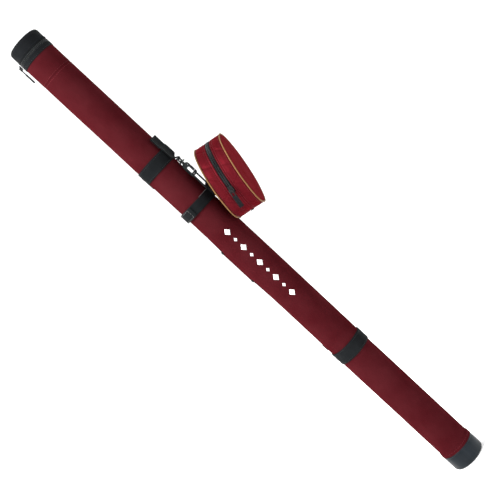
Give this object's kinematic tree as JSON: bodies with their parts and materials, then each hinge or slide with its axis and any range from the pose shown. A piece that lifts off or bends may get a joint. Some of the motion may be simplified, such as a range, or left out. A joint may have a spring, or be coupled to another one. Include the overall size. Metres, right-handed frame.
{
  "type": "cue case",
  "caption": "Rigid round tube case in burgundy cloth with a zip-round lid, a carry handle and a round zip pouch hung from a snap hook and strap.",
  "frame": {"origin": "centre of the base cap's underside", "axes": "+Z along the tube from base to lid, +X towards the round pouch, carry handle at the back on the +Y side"},
  "size_m": [0.126, 0.1197, 0.848],
  "materials": {
    "base_plastic": "smooth satin moulded plastic",
    "foam": "soft closed-cell foam",
    "tube_plastic": "extruded rigid tube",
    "felt": "brushed felt",
    "burgundy_cloth": "coarse plain-weave polyester",
    "webbing": "ribbed narrow webbing",
    "black_cloth": "heavy black woven cloth",
    "zip_tape": "woven zip tape",
    "zip_coil": "nylon coil",
    "black_metal": "satin black coated metal",
    "steel_pin": "plain steel",
    "pull_rubber": "moulded soft pull",
    "pouch_satin": "satin-faced nylon",
    "gold_piping": "corded satin piping"
  },
  "bodies": {
    "case": {"base_cap": "base_plastic", "base_pad": "foam", "inner_tube": "tube_plastic", "tube_lining": "felt", "tube_cover": "burgundy_cloth", "cover_collar": "burgundy_cloth", "cover_hem": "burgundy_cloth", "upper_band": "webbing", "lower_band": "webbing", "mouth_binding": "black_cloth", "lid_zip_lower_tape": "zip_tape", "lid_zip_lower_teeth": "zip_coil", "lid_hinge_panel": "black_cloth", "upper_ring_tab": "webbing", "lower_ring_tab": "webbing", "hook_tab": "webbing", "swivel_eye": "black_metal"},
    "lid": {"lid_shell": "tube_plastic", "lid_cover": "black_cloth", "lid_pad": "foam", "lid_binding": "black_cloth", "lid_zip_upper_tape": "zip_tape", "lid_zip_upper_teeth": "zip_coil"},
    "lid_slider": {"lid_zip_slider": "black_metal"},
    "lid_pull": {"lid_pull_link": "black_metal", "lid_pull_grip": "pull_rubber"},
    "handle": {"upper_handle_ring": "black_metal", "lower_handle_ring": "black_metal", "handle_strap": "webbing", "handle_grip": "burgundy_cloth"},
    "hook": {"snap_hook": "black_metal", "gate_pin": "steel_pin"},
    "gate": {"hook_gate": "black_metal"},
    "collar": {"pouch_strap": "webbing", "strap_flap": "webbing", "link_ring": "black_metal", "link_tab": "webbing"},
    "pouch": {"pouch_back": "pouch_satin", "pouch_back_piping": "gold_piping", "pouch_back_pad": "foam", "pouch_zip_back_tape": "zip_tape", "pouch_zip_back_teeth": "zip_coil", "pouch_hinge_panel": "pouch_satin", "belt_loop": "webbing"},
    "pouch_front_half": {"pouch_front": "pouch_satin", "pouch_front_piping": "gold_piping", "pouch_front_pad": "foam", "pouch_zip_front_tape": "zip_tape", "pouch_zip_front_teeth": "zip_coil"},
    "pouch_slider": {"pouch_zip_slider": "black_metal"},
    "pouch_pull": {"pouch_pull_link": "black_metal", "pouch_pull_grip": "pull_rubber"}
  },
  "joints": [
    {"name": "lid_hinge", "type": "hinge", "parent": "case", "child": "lid", "pos_m": [-0.01372, 0.02196, 0.8252], "axis": [-0.848, -0.5299, 0], "range_deg": [0, 110], "deforming": ["lid_hinge_panel"]},
    {"name": "lid_zip", "type": "hinge", "parent": "case", "child": "lid_slider", "pos_m": [0, 0, 0.8252], "axis": [0, 0, 1], "range_deg": [0, 244]},
    {"name": "lid_pull_swing", "type": "hinge", "parent": "lid_slider", "child": "lid_pull", "pos_m": [-0.0293, 0, 0.824], "axis": [0, 1, 0], "range_deg": [0, 150]},
    {"name": "handle_swing", "type": "hinge", "parent": "case", "child": "handle", "pos_m": [-0.01101, 0.02726, 0.423], "axis": [0, 0, 1], "range_deg": [-12, 12], "deforming": ["upper_ring_tab", "lower_ring_tab"]},
    {"name": "hook_swivel", "type": "hinge", "parent": "case", "child": "hook", "pos_m": [0.02778, -0.01295, 0.5811], "axis": [0, 0, 1], "range_deg": [-12, 12]},
    {"name": "hook_gate_open", "type": "hinge", "parent": "hook", "child": "gate", "pos_m": [0.03127, -0.01458, 0.573], "axis": [0.4226, 0.9063, 0], "range_deg": [0, 20], "stiffness_Nm_per_rad": 0.01, "springref_deg": -22.92},
    {"name": "pouch_turn", "type": "hinge", "parent": "case", "child": "collar", "pos_m": [0, 0, 0.5245], "axis": [0, 0, 1], "range_deg": [-6, 6]},
    {"name": "pouch_tilt", "type": "hinge", "parent": "collar", "child": "pouch", "pos_m": [0.02969, -0.0026, 0.5245], "axis": [-0.0872, -0.9962, 0], "range_deg": [0, 12], "deforming": ["belt_loop"]},
    {"name": "pouch_lid", "type": "hinge", "parent": "pouch", "child": "pouch_front_half", "pos_m": [0.04158, -0.03912, 0.47531], "axis": [0.0286, 0.8092, -0.5869], "range_deg": [0, 100], "deforming": ["pouch_hinge_panel"]},
    {"name": "pouch_zip", "type": "hinge", "parent": "pouch", "child": "pouch_slider", "pos_m": [0.05833, -0.00746, 0.51978], "axis": [-0.9556, 0.1944, 0.2215], "range_deg": [0, 276]},
    {"name": "pouch_pull_swing", "type": "hinge", "parent": "pouch_slider", "child": "pouch_pull", "pos_m": [0.04412, -0.06458, 0.50864], "axis": [-0.9556, 0.1944, 0.2215], "range_deg": [0, 150]}
  ]
}
